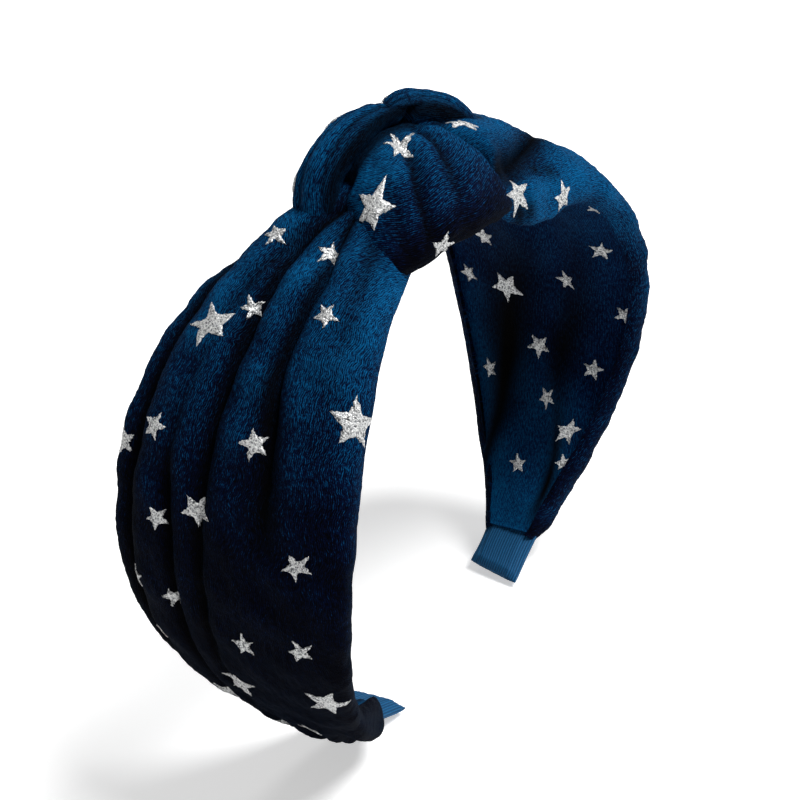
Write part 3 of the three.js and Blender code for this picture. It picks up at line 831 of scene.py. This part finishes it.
def end_sleeve(side, rows=70, columns=120):
    """A ribbed ribbon pocket over the hoop's tip, with its end cut on a slant and pressed flat."""
    t = np.linspace(0, 1, rows)[:, None]
    a = np.linspace(0, 2 * math.pi, columns, endpoint=False)[None, :]
    c, d = np.cos(a), np.sin(a)
    half = SLEEVE_HALF_WIDTH + 0.2 * np.cos(t * 5)
    y = half * np.sign(c) * np.abs(c)**0.55
    end = SLEEVE_END - 0.20 * y
    s = SLEEVE_START + (end - SLEEVE_START) * t
    shut = np.clip((t - 0.90) / 0.10, 0, 1)
    deep = (2.15 - 1.45 * shut**1.5) * (1 - 0.55 * np.clip(np.abs(y) / half - 0.62, 0, 1) / 0.38)
    n = deep * np.sign(d) * np.abs(d)**0.45
    ribs = 0.11 * np.cos(y * 2 * math.pi / 0.95)
    n = n + ribs * np.sign(d) * np.abs(d)**0.3 + 0.12 * np.sin(s / 2.7 + side) * np.abs(d)
    return np.stack([s * side, y + 0 * s, n], -1)


def solid_object(name, grid, material):
    """A closed solid from a grid of rings, with a face over each end."""
    rows, columns = grid.shape[:2]
    p = hoop(grid)
    i, j = (a.ravel() for a in np.meshgrid(np.arange(rows - 1), np.arange(columns), indexing="ij"))
    k = (j + 1) % columns
    quads = np.stack([i * columns + j, (i + 1) * columns + j, (i + 1) * columns + k,
                      i * columns + k], 1)
    centre = p.mean(axis=1)[:-1][i]
    a, b, d = p[i, j], p[i + 1, j], p[i, k]
    outward = ((np.cross(b - a, d - a)) * (a - centre)).sum()
    faces = quads if outward > 0 else quads[:, ::-1]
    caps = [list(range(columns)), list(range((rows - 1) * columns, rows * columns))[::-1]]
    if outward < 0:
        caps = [cap[::-1] for cap in caps]
    return mesh_object(name, p.reshape(-1, 3), faces.tolist() + caps, None, material)


def sleeve_object(name, grid):
    return Cloth(grid, closed=True).object(name, RIBBON, 0.5, shut_end=True)


def gather_thread(side, s=173.2, turns=26, count=520, sides=8, radius=0.33):
    """Two plies twisted together round the neck."""
    loop = np.linspace(0, 2 * math.pi, count, endpoint=False)
    y = 6.9 * np.sign(np.cos(loop)) * np.abs(np.cos(loop))**0.7
    n = 0.40 + 2.4 * np.sign(np.sin(loop)) * np.abs(np.sin(loop))**0.7
    points, faces = [], []
    middle = np.stack([np.full(count, s), y, n], -1)
    tangent = unit(np.roll(middle, -1, 0) - np.roll(middle, 1, 0))
    one = np.tile(np.array([1.0, 0, 0]), (count, 1))
    two = np.cross(tangent, one)
    a = np.linspace(0, 2 * math.pi, sides, endpoint=False)
    for ply in (0, math.pi):
        twist = (loop * turns + ply)[:, None]
        ply_at = middle + 0.6 * radius * (np.cos(twist) * one + np.sin(twist) * two)
        ring = ply_at[:, None] + radius * 0.62 * (np.cos(a)[None, :, None] * one[:, None]
                                                  + np.sin(a)[None, :, None] * two[:, None])
        ring[..., 0] *= side
        base = sum(len(p) for p in points)
        points.append(hoop(ring).reshape(-1, 3))
        for i in range(count):
            for j in range(sides):
                k, m = (i + 1) % count, (j + 1) % sides
                quad = (base + i * sides + j, base + k * sides + j, base + k * sides + m,
                        base + i * sides + m)
                faces.append(quad if side > 0 else quad[::-1])
    return np.concatenate(points), faces


# ---------------------------------------------------------------- pieces

def cross_flex(ob):
    """The cloth's transform is baked into its mesh."""
    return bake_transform(ob)


# Stars as (s, y, n, radius, turn in degrees). The first 18 of RIGHT_STARS and the first 14 of
# INNER_STARS have s and y from a helper program, which worked them out from the photo through the
# fitted camera; they were rounded, and some moved by hand. The rest is listed.
RIGHT_STARS = (
    (29, 9, 8, 3.4, 80), (30, -6, 7, 3.3, 20), (45.5, 5.2, 7, 3.2, 70), (44, -13, 6, 3.3, 60),
    (73, 19, 5, 3.3, 50), (78, 29.5, 3, 3.2, 20), (71.5, -6.8, 7, 3.6, 10), (90, 16, 6, 3.2, 0),
    (106, 24, 4, 3.0, 40), (92, -20, 5, 3.6, 65), (114, -4, 7, 3.2, 30), (112, -19, 5, 3.6, 10),
    (87, 5, 7, 4.4, 0), (108, 13.5, 6, 2.8, 90), (130, 4, 7, 4.6, 45),
    (51.5, 12.8, 7, 5.9, 5), (63, -26.5, 3, 6.0, 25), (129, -20, 4, 5.6, 60), (140, 12, 5, 3.3, 10),
    (150, -6, 6, 3.2, 30), (121, 23, 3, 3.3, 75), (158, 6, 6, 3.0, 0),
)
LEFT_STARS = (
    (13, -12.5, 12.6, 3.9, 40), (16.5, -25.3, -1.5, 5.5, 100), (37, -26.5, -4.6, 3.9, 20),
    (48, 2, 10, 3.4, 60), (44, 14, 8, 5.4, 10), (62, 6, 8, 3.4, 80), (66, -18, 6, 5.6, 40),
    (70, 22, 5, 3.4, 0),
    (84, -6, 7, 3.5, 20), (92, 14, 6, 4.4, 70), (100, -22, 5, 3.3, 45), (108, 2, 6, 5.8, 15),
    (118, 20, 4, 3.2, 60), (124, -14, 5, 3.5, 5), (136, 6, 6, 3.4, 35), (146, -8, 6, 4.4, 80),
    (152, 12, 5, 3.2, 20), (162, 0, 6, 3.0, 50), (30, 12, 10, 3.2, 85),
)
INNER_STARS = (
    (65, -23, -2, 3.2, 10), (86, -18, -2, 3.3, 50), (99, -6, -2, 3.2, 20), (104, 25, -2, 3.2, 80),
    (89, 17, -2, 3.3, 30), (108, -22, -2, 3.1, 60), (122, 3, -2, 3.6, 0), (126, -13, -2, 3.3, 40),
    (132, 17, -2, 3.0, 15), (137, -1, -2, 3.3, 70), (157, 4, -2, 2.8, 25), (154, -9, -2, 2.6, 5),
    (105, 12, -2, 5.4, 0), (145, -8, -2, 3.9, 35), (60, 2, -2, 4.6, 55), (48, -14, -2, 3.2, 20),
    (46, 8, -2, 3.3, 75), (74, 4, -2, 3.2, 45),
)
WRAP_STARS = (
    (-19, -10, 12, 5.9, 35), (-4.5, -8, 15.5, 4.4, 75), (-15, -24, -1.5, 3.5, 20),
)
ROLL_STARS = ((-17, 12, 12, 3.2, 30), (-2, 13, 18, 3.4, 60), (8, 8, 17, 4.4, 10))

for side, x in SIDES.items():
    leg = LEGS[side]
    cover = covers[side].object(f"{side}_wing_cloth", VELVET)
    cross_flex(cover)
    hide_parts(f"{side}_wing_cover")
    marks = [(x * s, y, n, r, t) for s, y, n, r, t in (RIGHT_STARS if x < 0 else LEFT_STARS)]
    printed = stars(f"{side}_wing_stars", covers[side], marks)
    cross_flex(printed)

    lining = linings[side].object(f"{side}_lining_cloth", LINING)
    cross_flex(lining)
    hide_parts(f"{side}_wing_lining")
    marks = [(x * s, y, n, r, t) for s, y, n, r, t in INNER_STARS]
    printed = stars(f"{side}_lining_stars", linings[side], marks)
    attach(printed, leg)

    foam = solid_object(f"{side}_wing_foam", wing_foam(covers[side], 166), SPONGE)
    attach(foam, leg)
    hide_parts(f"{side}_wing_pad")

    sleeve = sleeve_object(f"{side}_ribbed_sleeve", end_sleeve(x))
    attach(sleeve, leg)
    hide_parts(f"{side}_end_sleeve")

    points, faces = gather_thread(x)
    thread = mesh_object(f"{side}_twisted_thread", points, faces, None, THREAD)
    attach(thread, leg)
    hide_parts(f"{side}_gather_thread")

wrap_ob = wrap.object("knot_wrap_cloth", VELVET)
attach(wrap_ob, CROWN)
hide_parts("knot_wrap")
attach(stars("knot_wrap_stars", wrap, WRAP_STARS), CROWN)

roll_ob = roll.object("knot_roll_cloth", VELVET)
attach(roll_ob, CROWN)
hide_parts("knot_roll")
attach(stars("knot_roll_stars", roll, ROLL_STARS), CROWN)

# The CAD nodes that stay, with finer materials
for node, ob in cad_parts.items():
    if "core" in node or "pad" in node:
        finish = PLASTIC if "core" in node else SPONGE
        for slot in ob.material_slots:
            slot.material = finish
        if not ob.material_slots:
            ob.data.materials.append(finish)


# ---------------------------------------------------------------- floor, lights and camera

def floor():
    m = Nodes("pale_floor", Roughness=0.9)
    place = m.add("ShaderNodeTexCoord").outputs["Object"]
    tone = m.ramp(m.noise(place, 3.0, 2.0), (0.3, (0.90, 0.90, 0.90)), (0.7, (0.93, 0.93, 0.93)))
    rays = m.tree.nodes.new("ShaderNodeLightPath")
    glow = m.add("ShaderNodeMapRange", Value=rays.outputs["Is Camera Ray"], To_Max=0.5)
    m.put(m.shader.inputs["Emission Color"], (1, 1, 1, 1))
    m.put(m.shader.inputs["Emission Strength"], glow.outputs[0])
    m.finish(tone)
    size, low = 3.0, CAD_BOX[0][2] - 0.0002
    points = np.array([(-size, -size, low), (size, -size, low), (size, size, low), (-size, size, low)])
    ob = mesh_object("floor", points, [(0, 1, 2, 3)], None, m.material)


def area_light(name, place, target, size, power, colour=(1, 1, 1)):
    data = bpy.data.lights.new(name, "AREA")
    data.shape = "DISK"
    data.size = size
    data.energy = power
    data.color = colour
    ob = bpy.data.objects.new(name, data)
    ob.location = place
    ob.rotation_euler = (Vector(target) - Vector(place)).to_track_quat("-Z", "Y").to_euler()
    bpy.context.scene.collection.objects.link(ob)


def sun_light(name, direction, strength, angle):
    data = bpy.data.lights.new(name, "SUN")
    data.energy = strength
    data.angle = math.radians(angle)
    ob = bpy.data.objects.new(name, data)
    ob.rotation_euler = Vector(direction).to_track_quat("Z", "Y").to_euler()
    bpy.context.scene.collection.objects.link(ob)


floor()
MIDDLE = (0, 0, -0.05)
sun_light("key", (0.26, -0.42, 0.88), 3.45, 28)
area_light("rim", (0.75, 0.35, 0.75), MIDDLE, 0.4, 2.0)

world = bpy.data.worlds.new("studio")
world.use_nodes = True
background = world.node_tree.nodes["Background"]
background.inputs[0].default_value = (1, 1, 1, 1)
rays = world.node_tree.nodes.new("ShaderNodeLightPath")
strength = world.node_tree.nodes.new("ShaderNodeMapRange")
strength.inputs["To Min"].default_value = 0.13
strength.inputs["To Max"].default_value = 1.0
world.node_tree.links.new(rays.outputs["Is Camera Ray"], strength.inputs["Value"])
world.node_tree.links.new(strength.outputs[0], background.inputs[1])
bpy.context.scene.world = world
bpy.context.scene.view_settings.view_transform = "Standard"


def camera(azimuth, elevation, tilt, distance, lens, target):
    a, e, r = (math.radians(v) for v in (azimuth, elevation, tilt))
    back = Vector((math.sin(a) * math.cos(e), -math.cos(a) * math.cos(e), math.sin(e)))
    level = Vector((math.cos(a), math.sin(a), 0))
    up = back.cross(level)
    across = level * math.cos(r) + up * math.sin(r)
    upward = up * math.cos(r) - level * math.sin(r)
    data = bpy.data.cameras.new("camera")
    data.lens = lens
    data.sensor_width = 36
    ob = bpy.data.objects.new("camera", data)
    place = Vector(target) + back * distance
    turned = Matrix((across, upward, back)).transposed().to_4x4()
    ob.matrix_world = Matrix.Translation(place) @ turned
    bpy.context.scene.collection.objects.link(ob)
    bpy.context.scene.camera = ob


# These values are the output of the fit that gave the hoop's radii
camera(-55.0, 31.0, -6.6, 0.4739, 88.55, (-0.0015, 0.0021, -0.0511))
